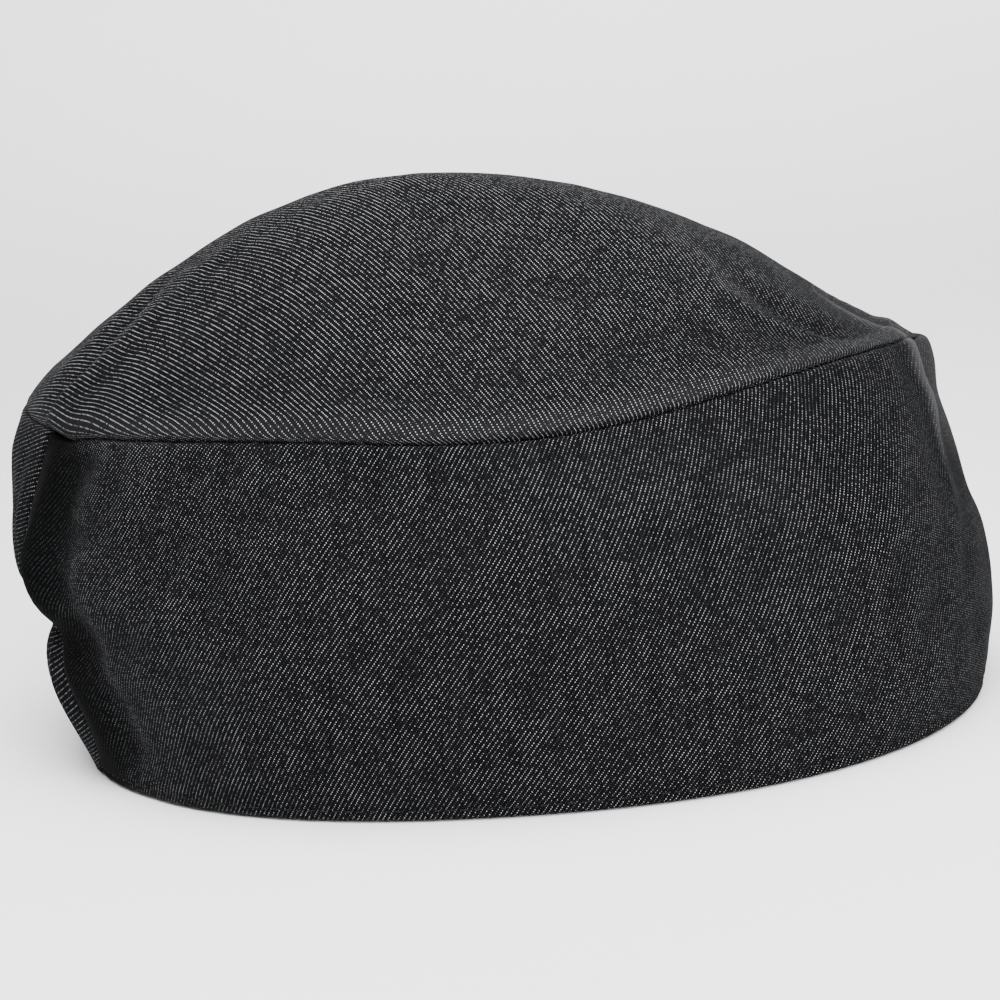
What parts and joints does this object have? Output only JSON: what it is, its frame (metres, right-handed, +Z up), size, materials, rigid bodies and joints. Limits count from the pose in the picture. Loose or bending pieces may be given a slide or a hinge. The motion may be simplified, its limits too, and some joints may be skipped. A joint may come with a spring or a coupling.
{
  "type": "chef skull cap",
  "caption": "Soft denim chef's cap with a deep upright band, a low domed crown and an elasticated panel at the nape.",
  "frame": {"origin": "middle of the cap's footprint, on the plane the hem stands on", "axes": "+Z up to the crown, -Y towards the forehead, +Y towards the nape, +X towards the wearer's left"},
  "size_m": [0.1684, 0.221, 0.1236],
  "materials": {
    "denim": "black twill with pale flecks",
    "binding": "woven cotton tape",
    "sweat_cloth": "plain cotton",
    "elastic_web": "braided elastic",
    "thread": "spun polyester thread",
    "label_satin": "blank satin tape"
  },
  "bodies": {
    "root": {"front_band": "denim", "back_panel": "denim", "crown_panel": "denim", "crown_seam_tape": "binding", "crown_tape_stitching": "thread", "hem_topstitch": "thread", "back_elastic": "elastic_web", "channel_topstitch": "thread", "sweatband": "sweat_cloth", "sweatband_stitching": "thread", "back_seam_tape_left": "binding", "back_seam_tape_right": "binding", "back_tape_stitching_left": "thread", "back_tape_stitching_right": "thread", "elastic_tack_left": "thread", "elastic_tack_right": "thread", "care_label": "label_satin"}
  },
  "joints": []
}
